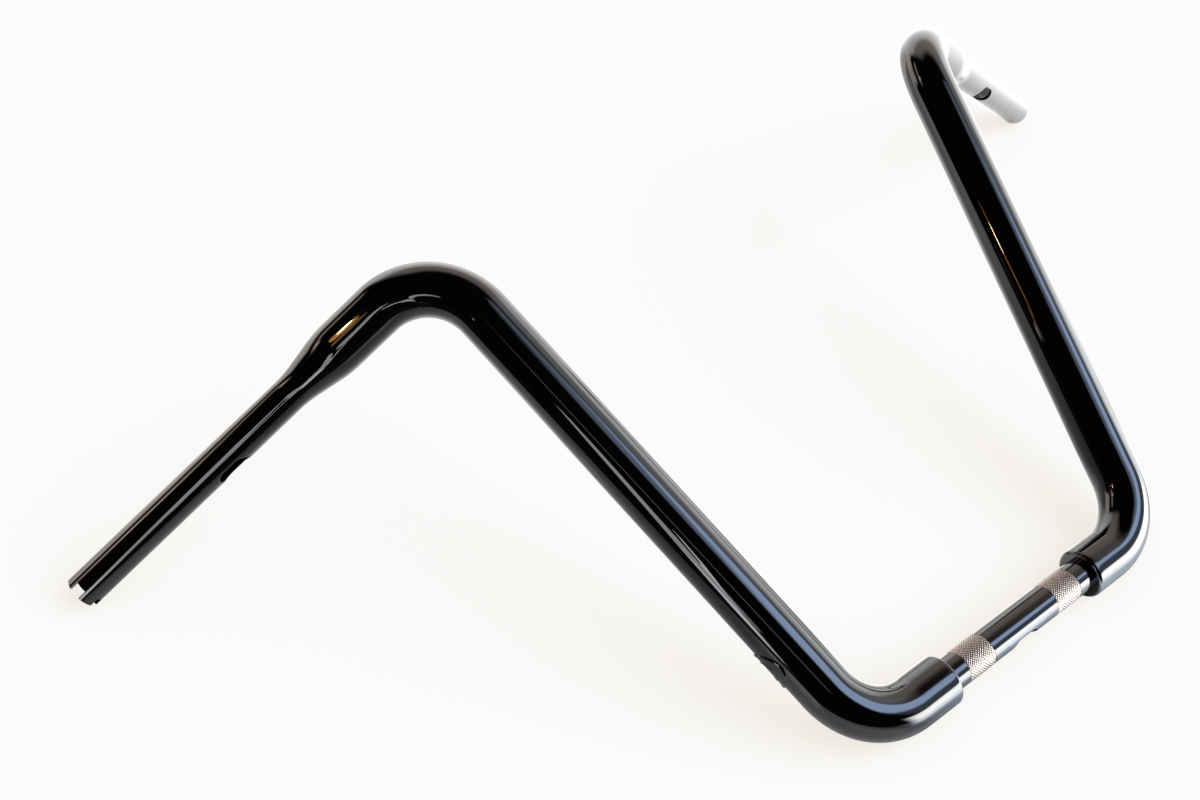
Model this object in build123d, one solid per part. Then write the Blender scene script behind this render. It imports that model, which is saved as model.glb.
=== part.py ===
from build123d import *
import math
import os

# Ape hanger handlebar: two fat bent tubes, welded to a slim clamp tube in the middle.
# Everything is built as it sits on a motorcycle: X to the rider's right, Y forward, Z up,
# with the origin in the middle of the clamp tube. The last step tips it about X on to a floor,
# where it stands on the undersides of its fat tubes and on the rims of its two grips.

# Driving dimensions, in millimetres and degrees
fat_diameter = 38.1
fat_wall = 3.05
slim_diameter = 25.4
clamp_wall = 3.05
grip_wall = 2.4

clamp_width = 152.4
corner_width = 303.2
bottom_bend_radius = 53.8
riser_length = 432.5
riser_lean = 11.63
top_bend_radius = 51.1
grip_sweep = 36.3
grip_droop = 9.95
fat_run = 86.0
neck_length = 51.0
neck_blend = 90.0
grip_length = 198.8
grip_edge_break = 0.4

shoulder_lip = 2.6
ring_length = 25.0

knurl_spacing = 96.5
knurl_width = 26.5
knurl_raise = 0.2
hole_length = 28.0
hole_width = 16.0

slot_length = 27.0
slot_width = 15.0
slot_setback = 138.8
notch_width = 8.5
notch_depth = 7.0

badge_diameter = 30.0
badge_place = 77.0
badge_turn = 26.0
badge_rim_width = 2.2
badge_rim_height = 1.1
badge_ring_diameter = 17.0
badge_ring_width = 1.6
badge_field_height = 0.7

# Sizes that follow from them
fat_radius = fat_diameter / 2
fat_bore = fat_radius - fat_wall
slim_radius = slim_diameter / 2
clamp_bore = slim_radius - clamp_wall
grip_bore = slim_radius - grip_wall
shoulder = clamp_width / 2
corner = corner_width / 2
grip_reach = fat_run + neck_length + grip_length
lip_radius = min(shoulder_lip, 0.9 * fat_wall)
FORWARD = Vector(0, 1, 0)
DOWN = Vector(0, 0, -1)
RIGHT, LEFT = 1, -1


def leg_directions(side):
    """Unit directions of the stub, the riser and the grip on one side."""
    lean = math.radians(riser_lean)
    sweep = math.radians(grip_sweep)
    droop = math.radians(grip_droop)
    stub = Vector(side, 0, 0)
    riser = Vector(side * math.sin(lean), 0, math.cos(lean))
    level = math.cos(droop)
    grip = Vector(side * level * math.cos(sweep), -level * math.sin(sweep), -math.sin(droop))
    return stub, riser, grip


def corners(side):
    """The bottom corner, the top corner and the grip's end, on the tube's centre line."""
    stub, riser, grip = leg_directions(side)
    bottom = stub * corner
    top = bottom + riser * riser_length
    return bottom, top, top + grip * grip_reach


def square_to(direction, axis):
    """The part of a direction that is square to an axis, as a unit vector."""
    return (direction - axis * direction.dot(axis)).normalized()


def ring_face(plane, outer, inner):
    """A flat ring on a plane."""
    return plane * (Circle(outer) - Circle(inner))


def setback(radius, before, after):
    """How far a bend of this radius starts ahead of its corner."""
    return radius * math.tan(math.radians(before.get_angle(after)) / 2)


def bend(at, before, after, radius):
    """A hollow bend around a corner: the tube's ring turned about the bend's axis."""
    start = at - before * setback(radius, before, after)
    centre = start + square_to(after, before) * radius
    section = ring_face(Plane(start, z_dir=before), fat_radius, fat_bore)
    return revolve(section, Axis(centre, before.cross(after)), before.get_angle(after))


def straight(start, end):
    """A hollow straight run of fat tube between two points."""
    along = end - start
    return extrude(ring_face(Plane(start, z_dir=along), fat_radius, fat_bore), along.length)


def stub_run(side, end):
    """The run beside the clamp tube, with the outer edge of its shoulder rounded."""
    start = Vector(side * shoulder, 0, 0)
    run = straight(start, end)
    mouth = run.edges().filter_by(GeomType.CIRCLE).group_by(Axis(start, end - start))[0]
    return fillet(mouth.sort_by(SortBy.RADIUS)[-1:], lip_radius)


def neck_line(start, end):
    """A cone's straight side between two equal arcs, level at both ends, from one radius to another.

    The side's slope is the angle at which arcs and straight together cover the length and the drop:
    a sin(slope) + b cos(slope) = blend, with a half the length and b the blend less half the drop.
    """
    (x0, y0), (x1, y1) = start, end
    long, drop = x1 - x0, y0 - y1
    blend = min(neck_blend, 0.9 * (long**2 + drop**2) / (4 * drop))
    a, b = long / 2, blend - drop / 2
    slope = math.atan2(a, b) - math.acos(blend / math.hypot(a, b))
    ahead, down = blend * math.sin(slope), blend * (1 - math.cos(slope))
    upper, lower = (x0 + ahead, y0 - down), (x1 - ahead, y1 + down)
    first = TangentArc(start, upper, tangent=(1, 0))
    last = TangentArc(end, lower, tangent=(-1, 0))
    return [first, Line(upper, lower), last]


def grip_leg(start, direction, begin):
    """The fat run, neck and grip: one hollow profile turned about the grip's axis.

    The profile's x is the distance from the top corner, and its y the distance from the axis.
    """
    neck_end = fat_run + neck_length
    chamfer = grip_edge_break
    tip = [
        (neck_end, slim_radius),
        (grip_reach - chamfer, slim_radius),
        (grip_reach, slim_radius - chamfer),
        (grip_reach, grip_bore),
        (neck_end, grip_bore),
    ]
    root = [
        (fat_run, fat_bore),
        (begin, fat_bore),
        (begin, fat_radius),
        (fat_run, fat_radius),
    ]
    outline = [Polyline(tip), Polyline(root)]
    outline += neck_line(root[-1], tip[0])
    outline += neck_line(root[0], tip[-1])
    profile = make_face(Curve() + outline)
    across = square_to(DOWN, direction)
    plane = Plane(start, x_dir=direction, z_dir=direction.cross(across))
    return revolve(plane * profile, Axis(start, direction))


def slot_cut(centre, along, facing, length, width):
    """A round-ended hole through one wall of a tube, from the tube's axis outwards."""
    plane = Plane(centre, x_dir=along, z_dir=facing)
    return extrude(plane * SlotOverall(length, width), fat_diameter)


def notch_cuts(end, direction):
    """Two square channels that cross on the grip's axis, and so notch its rim four times."""
    down = square_to(DOWN, direction)
    cuts = []
    for across in (down, direction.cross(down)):
        plane = Plane(end, x_dir=across, z_dir=-direction)
        cuts.append(extrude(plane * Rectangle(2 * slim_diameter, notch_width), notch_depth))
    return cuts


def bar_tube(side):
    """One fat tube: shoulder, bottom bend, riser, top bend, neck and grip with its wiring slot."""
    stub, riser, grip = leg_directions(side)
    bottom, top, end = corners(side)
    low = setback(bottom_bend_radius, stub, riser)
    high = setback(top_bend_radius, riser, grip)
    tube = stub_run(side, bottom - stub * low)
    tube += bend(bottom, stub, riser, bottom_bend_radius)
    tube += straight(bottom + riser * low, top - riser * high)
    tube += bend(top, riser, grip, top_bend_radius)
    tube += grip_leg(top, grip, high)
    slot_middle = end - grip * slot_setback
    tube -= slot_cut(slot_middle, grip, square_to(DOWN, grip), slot_length, slot_width)
    if side == RIGHT:
        for cut in notch_cuts(end, grip):
            tube -= cut
    return tube


def clamp_tube():
    """The slim tube between the shoulders, with two raised knurl bands and a wiring hole below."""
    reach = shoulder + ring_length
    tube = extrude(ring_face(Plane.YZ, slim_radius, clamp_bore), reach, both=True)
    for side in (RIGHT, LEFT):
        start = side * knurl_spacing / 2 - knurl_width / 2
        band = ring_face(Plane.YZ.offset(start), slim_radius + knurl_raise, clamp_bore)
        tube += extrude(band, knurl_width)
    return tube - slot_cut(Vector(0, 0, 0), Vector(1, 0, 0), DOWN, hole_length, hole_width)


def reducer_ring(side):
    """The ring that fills the fat tube's mouth around the clamp tube."""
    plane = Plane((side * shoulder, 0, 0), z_dir=(side, 0, 0))
    return extrude(ring_face(plane, fat_bore, slim_radius), ring_length)


def badge():
    """A blank round badge wrapped on the right riser: a raised rim and ring on a lower field."""
    stub, riser, _ = leg_directions(RIGHT)
    turn = math.radians(badge_turn)
    facing = square_to(stub, riser) * math.cos(turn) - FORWARD * math.sin(turn)
    centre = corners(RIGHT)[0] + riser * badge_place
    foot = Plane(centre - riser * badge_diameter, z_dir=riser)
    front = Plane(centre, z_dir=facing)
    field_radius = badge_diameter / 2 - badge_rim_width
    ring_radius = badge_ring_diameter / 2

    def wrapped(height, outline):
        skin = extrude(ring_face(foot, fat_radius + height, fat_radius), 2 * badge_diameter)
        return skin & extrude(front * outline, fat_diameter)

    rim = wrapped(badge_rim_height, Circle(badge_diameter / 2) - Circle(field_radius))
    ring = wrapped(badge_rim_height, Circle(ring_radius) - Circle(ring_radius - badge_ring_width))
    return rim + wrapped(badge_field_height, Circle(field_radius)) + ring


def rest_tilt():
    """The tip about X, in degrees, that sets the grips' rims level with the fat tubes' undersides.

    It is found by halving: upright, the rims are high above that level, and laid flat, below it.
    """
    _, _, end = corners(RIGHT)
    grip = leg_directions(RIGHT)[2]
    edges = [(grip_edge_break, slim_radius), (0, slim_radius - grip_edge_break)]

    def rim_height(tilt):
        up = Vector(0, math.sin(tilt), math.cos(tilt))
        slope = grip.dot(up)
        drops = [slope * back + radius * math.sqrt(1 - slope**2) for back, radius in edges]
        return end.dot(up) - max(drops) + fat_radius

    upright, flat = 0.0, math.pi / 2
    while flat - upright > 1e-12:
        middle = (upright + flat) / 2
        if rim_height(middle) > 0:
            upright = middle
        else:
            flat = middle
    return math.degrees(upright)


def main():
    """Build every piece, tip it to its rest and write it."""
    pieces = {
        "clamp_tube": clamp_tube(),
        "right_bar_tube": bar_tube(RIGHT),
        "left_bar_tube": bar_tube(LEFT),
        "right_reducer_ring": reducer_ring(RIGHT),
        "left_reducer_ring": reducer_ring(LEFT),
        "blank_badge": badge(),
    }
    tilt = rest_tilt()
    print(f"rest tilt {tilt:.3f} degrees")
    os.makedirs("parts", exist_ok=True)
    for name, piece in pieces.items():
        export_step(piece.rotate(Axis.X, tilt), f"parts/{name}.step")


main()
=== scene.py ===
"""Ape hanger handlebar: gloss black bent tubes, a slim clamp tube with bare knurl bands, a blank badge.

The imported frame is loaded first. Each operator then builds one piece or group of pieces around it as
numpy surfaces, in metres. Shapes are worked out as the bar sits on a motorcycle, with X to the rider's
right, Y forward and Z up, and are tipped about X at the end to lie as the frame does.
"""

import math

import bmesh
import bpy
import numpy as np
from mathutils import Matrix, Vector


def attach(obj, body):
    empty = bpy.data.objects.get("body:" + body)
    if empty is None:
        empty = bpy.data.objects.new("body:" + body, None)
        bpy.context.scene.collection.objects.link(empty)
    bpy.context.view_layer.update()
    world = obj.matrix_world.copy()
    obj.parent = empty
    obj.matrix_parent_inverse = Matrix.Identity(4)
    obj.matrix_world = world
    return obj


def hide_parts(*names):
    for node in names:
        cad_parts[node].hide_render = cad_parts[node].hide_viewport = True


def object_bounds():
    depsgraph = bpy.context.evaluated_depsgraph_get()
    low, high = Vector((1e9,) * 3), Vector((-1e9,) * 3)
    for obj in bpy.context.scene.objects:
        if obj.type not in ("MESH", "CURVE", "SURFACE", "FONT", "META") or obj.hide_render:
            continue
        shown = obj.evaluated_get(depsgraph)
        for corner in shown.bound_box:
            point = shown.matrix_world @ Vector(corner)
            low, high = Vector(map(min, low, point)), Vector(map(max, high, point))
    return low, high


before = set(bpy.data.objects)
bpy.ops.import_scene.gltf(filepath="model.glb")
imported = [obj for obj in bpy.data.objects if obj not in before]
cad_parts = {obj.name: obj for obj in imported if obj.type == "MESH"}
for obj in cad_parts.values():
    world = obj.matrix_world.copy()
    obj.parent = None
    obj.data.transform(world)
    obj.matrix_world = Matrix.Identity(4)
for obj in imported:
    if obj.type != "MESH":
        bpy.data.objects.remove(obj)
CAD_LOW, CAD_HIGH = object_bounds()

bl_info = {
    "name": "Ape hanger handlebar",
    "version": (1, 0, 0),
    "blender": (4, 5, 0),
    "location": "3D View > Sidebar > Handlebar",
    "description": "Builds a gloss black handlebar with bare knurl bands on its packed frame",
    "category": "Object",
}

BODY = "root"
RIGHT, LEFT = 1, -1
SIDE_NAMES = {RIGHT: "right", LEFT: "left"}
FORWARD = np.array([0.0, 1.0, 0.0])
DOWN = np.array([0.0, 0.0, -1.0])
ACROSS_BAR = np.array([1.0, 0.0, 0.0])
MERGE_DISTANCE = 2e-6
GRID_SLACK = 1e-7
SMALLEST_DIVISOR = 1e-12
SHARP_ANGLE = math.radians(38)
# A shoulder's lip takes at most this share of the wall, and a neck's arcs this share of what fits
LIP_LIMIT = BLEND_LIMIT = 0.9

# Columns around a tube: in each quarter, first those over a throttle notch, then those beside it
NOTCH_COLUMNS, LAND_COLUMNS = 10, 14
QUARTER_COLUMNS = NOTCH_COLUMNS + LAND_COLUMNS
TUBE_COLUMNS = 4 * QUARTER_COLUMNS
DOWN_COLUMN = NOTCH_COLUMNS // 2

# Rows along a bar tube's skins: stub, bend, riser, bend, fat run, neck, grip before and after its slot
OUTSIDE_ROWS = (10, 56, 90, 72, 8, 36, 10, 30)
INSIDE_ROWS = (4, 24, 16, 28, 3, 18, 4, 8)
LIP_ROWS = 9

# The gap left in a tube's grid around a cut: its reach past the cut, its rows and half its columns
SLOT_GAP, SLOT_ROWS, SLOT_HALF_COLUMNS = 0.0065, 25, 16
HOLE_GAP, HOLE_ROWS, HOLE_HALF_COLUMNS = 0.007, 29, 18
# Rows from the outside's gap to the cut, around its edge, and on to the inside's gap
OUTER_SHARES = (1.0, 0.72, 0.46, 0.24, 0.08)
CUT_EDGE_ROWS = 6
INNER_SHARES = (0.0, 0.3, 0.65, 1.0)

# The knurl: teeth around, steps over a tooth, the share of its height at which its point is cut off,
# the run over which teeth fade at a band's edges, and the chamfer of the tube's step under a band
KNURL_TEETH, TOOTH_STEPS = 34, 8
TOOTH_TOP = 0.86
KNURL_RUN_OUT = 0.0009
SEAT_EDGE = 0.00012

# The badge: first row from the middle, rounding of its edge, half width of its slopes, columns around,
# and rows over its flats, slopes and edge
BADGE_START, BADGE_ROUNDING, BADGE_SLOPE = 0.0005, 0.0007, 0.0003
BADGE_COLUMNS = 128
BADGE_FLAT_ROWS, BADGE_SLOPE_ROWS, BADGE_EDGE_ROWS = (8, 4, 6, 5), 9, 7


def length(name, description, default):
    """A length in metres."""
    return bpy.props.FloatProperty(
        name=name, description=description, default=default, min=0.0, unit="LENGTH", precision=5
    )


def angle(name, description, degrees):
    """An angle, given in degrees and kept in radians."""
    return bpy.props.FloatProperty(
        name=name, description=description, default=math.radians(degrees), subtype="ANGLE"
    )


def colour(name, description, default):
    """A linear colour."""
    return bpy.props.FloatVectorProperty(
        name=name, description=description, default=default, size=3, min=0.0, subtype="COLOR"
    )


def share(name, description, default):
    """A number from 0 to 1."""
    return bpy.props.FloatProperty(
        name=name, description=description, default=default, min=0.0, max=1.0, subtype="FACTOR"
    )


class HandlebarSizes(bpy.types.PropertyGroup):
    """Sizes of the bar, the same as its frame's."""

    fat_diameter: length("Fat diameter", "Outside diameter of the bent tubes", 0.0381)
    fat_wall: length("Fat wall", "Wall of the bent tubes", 0.00305)
    slim_diameter: length("Slim diameter", "Outside diameter of the clamp tube and the grips", 0.0254)
    clamp_wall: length("Clamp wall", "Wall of the clamp tube", 0.00305)
    grip_wall: length("Grip wall", "Wall of the grips", 0.0024)
    clamp_width: length("Clamp width", "Between the two shoulders", 0.1524)
    corner_width: length("Corner width", "Between the bottom corners' centre lines", 0.3032)
    bottom_bend_radius: length("Bottom bend", "Centre line radius of the bottom bends", 0.0538)
    riser_length: length("Riser", "From bottom corner to top corner", 0.4325)
    riser_lean: angle("Riser lean", "How far the risers lean outwards", 11.63)
    top_bend_radius: length("Top bend", "Centre line radius of the top bends", 0.0511)
    grip_sweep: angle("Grip sweep", "How far the grips sweep back", 36.3)
    grip_droop: angle("Grip droop", "How far the grips point down", 9.95)
    fat_run: length("Fat run", "From top corner to the start of the neck", 0.086)
    neck_length: length("Neck", "Length over which a tube narrows to its grip", 0.051)
    neck_blend: length("Neck blend", "Radius of the arcs at both ends of the neck", 0.090)
    grip_length: length("Grip", "From the end of the neck to the grip's end", 0.1988)
    grip_edge_break: length("Grip edge", "Chamfer on the grip's end", 0.0004)
    shoulder_lip: length("Shoulder lip", "Rounding of a shoulder's outer edge", 0.0026)
    ring_length: length("Ring", "How far the clamp tube reaches into a shoulder", 0.025)
    knurl_spacing: length("Knurl spacing", "Between the middles of the knurl bands", 0.0965)
    knurl_width: length("Knurl width", "Width of one knurl band", 0.0265)
    knurl_crest: length("Knurl crest", "How far the teeth stand above the tube", 0.00022)
    knurl_depth: length("Knurl depth", "Depth of the grooves between teeth", 0.00040)
    knurl_seat: length("Knurl seat", "Depth of the black tube's step under a band", 0.0004)
    hole_length: length("Hole length", "Length of the wiring hole under the clamp tube", 0.028)
    hole_width: length("Hole width", "Width of the wiring hole", 0.016)
    slot_length: length("Slot length", "Length of a grip's wiring slot", 0.027)
    slot_width: length("Slot width", "Width of a grip's wiring slot", 0.015)
    slot_setback: length("Slot setback", "From the grip's end to the middle of its slot", 0.1388)
    cut_edge: length("Cut edge", "Rounding of the painted edges of slots and holes", 0.0006)
    notch_width: length("Notch width", "Width of a throttle notch", 0.0085)
    notch_depth: length("Notch depth", "Depth of a throttle notch", 0.007)
    badge_diameter: length("Badge", "Diameter of the blank badge", 0.030)
    badge_place: length("Badge place", "From bottom corner to the badge's middle", 0.077)
    badge_turn: angle("Badge turn", "How far the badge is turned from the outside to the back", 26.0)
    badge_rim_width: length("Badge rim width", "Width of the badge's rim", 0.0022)
    badge_rim_height: length("Badge rim height", "How far the rim stands above the tube", 0.0011)
    badge_ring_diameter: length("Badge ring", "Diameter of the ring inside the badge's rim", 0.017)
    badge_ring_width: length("Badge ring width", "Width of that ring", 0.0016)
    badge_field_height: length("Badge field height", "How far the field stands above the tube", 0.0007)
    rest_tilt: angle("Rest tilt", "How far the bar is tipped forward to lie on the floor", 63.086)


class HandlebarFinishes(bpy.types.PropertyGroup):
    """Colours of the bar and its floor."""

    paint: colour("Paint", "Gloss black paint", (0.0007, 0.0007, 0.0008))
    paint_roughness: share("Paint roughness", "Roughness of the paint", 0.02)
    steel: colour("Bare steel", "Crests of the knurl", (0.37, 0.31, 0.27))
    # The grooves' colour is painted shade: the knurl is painted darker where its teeth fall away.
    groove_shade: colour("Knurl grooves", "Grooves between the knurl's teeth", (0.06, 0.045, 0.036))
    steel_roughness: share("Steel roughness", "Roughness of the bare knurl", 0.30)
    floor_light: colour("Floor light", "The floor's white that shadows leave", (0.815, 0.755, 0.655))
    floor_shade: colour("Floor shade", "The floor's white that shadows take", (0.16, 0.22, 0.32))


def sizes():
    """The scene's handlebar sizes."""
    return bpy.context.scene.handlebar_sizes


def finishes():
    """The scene's handlebar finishes."""
    return bpy.context.scene.handlebar_finishes


def unit(vector):
    """The vector at length one."""
    return vector / np.linalg.norm(vector)


def square_to(direction, axis):
    """The part of a direction that is square to an axis, as a unit vector."""
    return unit(direction - axis * np.dot(direction, axis))


def turned(vectors, axis, angles):
    """Vectors turned about a unit axis: v cos a + (axis x v) sin a + axis (axis . v)(1 - cos a)."""
    vectors = np.broadcast_to(vectors, np.shape(angles) + (3,))
    c, s = np.cos(angles)[..., None], np.sin(angles)[..., None]
    along = (vectors @ axis)[..., None] * axis
    return vectors * c + np.cross(axis, vectors) * s + along * (1 - c)


def laid_down(points):
    """Points of the riding bar, tipped about X as the bar lies on the floor."""
    c, s = math.cos(sizes().rest_tilt), math.sin(sizes().rest_tilt)
    return points @ np.array([[1, 0, 0], [0, c, s], [0, -s, c]])


def smooth(t):
    """The S curve 3 t^2 - 2 t^3 of t held between 0 and 1."""
    t = np.clip(t, 0, 1)
    return t * t * (3 - 2 * t)


def leg_directions(side):
    """Unit directions of the stub, the riser and the grip on one side."""
    z = sizes()
    stub = np.array([side, 0.0, 0.0])
    riser = np.array([side * math.sin(z.riser_lean), 0.0, math.cos(z.riser_lean)])
    level = math.cos(z.grip_droop)
    out, back = level * math.cos(z.grip_sweep), level * math.sin(z.grip_sweep)
    return stub, riser, np.array([side * out, -back, -math.sin(z.grip_droop)])


class BarLine:
    """The centre line of one fat tube, from its shoulder to its grip's end.

    A distance d along it gives a point, the direction there, and two vectors square to it that run
    along the tube without twisting and point down and across at the grip.
    """

    def __init__(self, side):
        z = sizes()
        self.stub, self.riser, self.grip = leg_directions(side)
        self.start = self.stub * (z.clamp_width / 2)
        corners = [(self.stub, self.riser), (self.riser, self.grip)]
        self.turns = [math.acos(np.dot(*legs)) for legs in corners]
        self.axes = [unit(np.cross(*legs)) for legs in corners]
        self.radii = [z.bottom_bend_radius, z.top_bend_radius]
        back = [r * math.tan(t / 2) for r, t in zip(self.radii, self.turns)]
        reach = z.fat_run + z.neck_length + z.grip_length
        runs = [
            (z.corner_width - z.clamp_width) / 2 - back[0],
            self.radii[0] * self.turns[0],
            z.riser_length - sum(back),
            self.radii[1] * self.turns[1],
            reach - back[1],
        ]
        self.marks = np.cumsum([0.0] + runs)
        self.top_corner = self.marks[4] - back[1]
        self.end = self.marks[5]
        self.down = square_to(DOWN, self.grip)

    def at(self, distance):
        """Points, directions, down and across vectors at distances along the line.

        Straight runs add their direction times the distance covered. A bend of radius R and axis k
        that has turned by a adds c - turned(c, k, a), where c = R (k x direction) leads to its centre.
        """
        d = np.asarray(distance, float)
        m = self.marks
        run = [np.clip(d - m[i], 0, m[i + 1] - m[i])[..., None] for i in range(5)]
        bent = [run[1][..., 0] / self.radii[0], run[3][..., 0] / self.radii[1]]
        point = self.start + self.stub * run[0] + self.riser * run[2] + self.grip * run[4]
        for lead, axis, radius, turn in zip((self.stub, self.riser), self.axes, self.radii, bent):
            centre = radius * np.cross(axis, lead)
            point = point + centre - turned(centre, axis, turn)
        vectors = []
        for vector in (self.grip, self.down):
            vector = turned(vector, self.axes[1], bent[1] - self.turns[1])
            vectors.append(turned(vector, self.axes[0], bent[0] - self.turns[0]))
        return point, vectors[0], vectors[1], np.cross(vectors[0], vectors[1])


class Sheets:
    """Grids of points gathered into one mesh."""

    def __init__(self):
        self.points, self.faces, self.values = [], [], []
        self.count = 0

    def add(self, points, faces, values=None):
        """Adds points, the quads between them and, where given, one value at each point."""
        self.points.append(points.reshape(-1, 3))
        self.faces.append(faces.reshape(-1, 4) + self.count)
        self.values.append(np.zeros(len(self.points[-1])) if values is None else values.ravel())
        self.count += len(self.points[-1])

    def piece(self, name, finish, attribute=None):
        """The mesh as an object at the origin: doubles merged, normals outwards, sharp edges marked."""
        mesh = bpy.data.meshes.new(name)
        points = laid_down(np.concatenate(self.points))
        mesh.from_pydata(points.tolist(), [], np.concatenate(self.faces).tolist())
        if attribute:
            layer = mesh.attributes.new(attribute, "FLOAT", "POINT")
            layer.data.foreach_set("value", np.concatenate(self.values).astype(np.float32))
        edit = bmesh.new()
        edit.from_mesh(mesh)
        loose = [v for v in edit.verts if not v.link_faces]
        bmesh.ops.delete(edit, geom=loose, context="VERTS")
        bmesh.ops.remove_doubles(edit, verts=edit.verts, dist=MERGE_DISTANCE)
        bmesh.ops.dissolve_degenerate(edit, edges=edit.edges, dist=MERGE_DISTANCE)
        bmesh.ops.recalc_face_normals(edit, faces=edit.faces)
        edit.to_mesh(mesh)
        edit.free()
        mesh.shade_smooth()
        mesh.set_sharp_from_angle(angle=SHARP_ANGLE)
        mesh.materials.append(finish)
        made = add_object(name, mesh)
        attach(made, BODY)
        return made


def grid_faces(rows, columns, round_rows=False, round_columns=False):
    """Quads of a grid as (row, column, 4) point numbers, wrapped round where asked."""
    i = np.arange(rows if round_rows else rows - 1)[:, None]
    j = np.arange(columns if round_columns else columns - 1)[None, :]
    i2, j2 = (i + 1) % rows, (j + 1) % columns
    corners = [i * columns + j, i * columns + j2, i2 * columns + j2, i2 * columns + j]
    return np.stack(np.broadcast_arrays(*corners), -1)


def column_angles(radius, notch_half, lowest, highest):
    """Angles of a tube's columns at each radius, from the middle of the notch that points down.

    A notch's straight sides are notch_half from the axis, so at radius r they stand at the angle whose
    sine is notch_half / r. Columns are spread evenly over each notch and each land between notches.
    """
    half = np.arcsin(notch_half / np.clip(radius, lowest, highest))[..., None]
    number = np.arange(TUBE_COLUMNS)
    quarter, place = number // QUARTER_COLUMNS, number % QUARTER_COLUMNS
    over = np.minimum(place, NOTCH_COLUMNS) / NOTCH_COLUMNS
    beside = np.maximum(place - NOTCH_COLUMNS, 0) / LAND_COLUMNS
    return quarter * (math.pi / 2) - half + 2 * half * over + (math.pi / 2 - 2 * half) * beside


def tube_faces(places, gap, gap_columns):
    """A tube's quads, and which of them stay: all but those at the gap's places and columns."""
    faces = grid_faces(len(places), TUBE_COLUMNS, round_rows=True, round_columns=True)
    kept = np.ones(faces.shape[:2], bool)
    within = np.abs(places) < gap + GRID_SLACK
    kept[np.ix_(within & np.roll(within, -1), gap_columns[:-1] % TUBE_COLUMNS)] = False
    return faces, kept


def round_ended(along, across, half_length, half_width):
    """Where rays from the middle meet a round-ended slot: its straight side or its end's circle."""
    lead = half_length - half_width
    a, b = np.abs(along), np.maximum(np.abs(across), SMALLEST_DIVISOR)
    side = half_width / b
    size = a * a + b * b
    end = (a * lead + np.sqrt((a * lead) ** 2 - size * (lead**2 - half_width**2))) / size
    scale = np.where(side * a <= lead, side, end)
    return along * scale, across * scale


def add_cut(sheets, middle, axes, stations, outer, inner, half_length, half_width, edge):
    """A round-ended hole through a tube's wall, joined to the tube's own grid around it.

    stations are the grid's distances from the hole's middle, outer and inner the two skins as (radius,
    angles). On each skin, rows run straight from the hole's outline to the gap left in the grid. The
    outer edge is a quarter round: at angle t it stands edge (1 - sin t) back and edge (1 - cos t) deep.
    """
    along, down, across = axes

    def border(radius, angles):
        """The gap's border in order: one side, the far end, the other side, the near end."""
        n = len(stations)
        ends = [np.full(len(angles) - 1, stations[-1]), np.full(len(angles) - 1, stations[0])]
        a = np.concatenate([stations[:-1], ends[0], stations[:0:-1], ends[1]])
        turn = np.concatenate(
            [np.full(n - 1, angles[0]), angles[:-1], np.full(n - 1, angles[-1]), angles[:0:-1]]
        )
        return a, radius * np.sin(turn)

    def skin_row(a, b, radius, depth=0.0):
        """Points at a along and b across on a skin of some radius."""
        h = np.sqrt(radius**2 - b**2) - depth
        return middle + a[:, None] * along + b[:, None] * across + h[:, None] * down

    out_a, out_b = border(*outer)
    in_a, in_b = border(*inner)
    rows = []
    rim_a, rim_b = round_ended(out_a, out_b, half_length + edge, half_width + edge)
    for part in OUTER_SHARES:
        rows.append(skin_row(rim_a + part * (out_a - rim_a), rim_b + part * (out_b - rim_b), outer[0]))
    for t in np.linspace(0, math.pi / 2, CUT_EDGE_ROWS):
        back = edge * (1 - math.sin(t))
        a, b = round_ended(out_a, out_b, half_length + back, half_width + back)
        rows.append(skin_row(a, b, outer[0], edge * (1 - math.cos(t))))
    a, b = round_ended(out_a, out_b, half_length, half_width)
    rows.append((rows[-1] + skin_row(a, b, inner[0])) / 2)
    for part in INNER_SHARES:
        rows.append(skin_row(a + part * (in_a - a), b + part * (in_b - b), inner[0]))
    points = np.stack(rows)
    sheets.add(points, grid_faces(len(rows), len(a), round_columns=True))


def neck_radius(distance, start, long, from_radius, to_radius):
    """Radius along a neck: a cone's straight side between two equal arcs, level at both ends.

    With a half the length and b the blend less half the drop, the side's slope is the angle at which
    a sin(slope) + b cos(slope) = blend. Each arc covers blend sin(slope) of the length.
    """
    drop = from_radius - to_radius
    blend = min(sizes().neck_blend, BLEND_LIMIT * (long**2 + drop**2) / (4 * drop))
    a, b = long / 2, blend - drop / 2
    slope = math.atan2(a, b) - math.acos(blend / math.hypot(a, b))
    arc = blend * math.sin(slope)
    x = np.clip(distance - start, 0, long)
    first = from_radius - (blend - np.sqrt(blend**2 - np.minimum(x, arc) ** 2))
    last = to_radius + (blend - np.sqrt(blend**2 - np.minimum(long - x, arc) ** 2))
    side = from_radius - drop / 2 - (x - a) * math.tan(slope)
    return np.select([x < arc, x > long - arc], [first, last], side)


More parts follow.
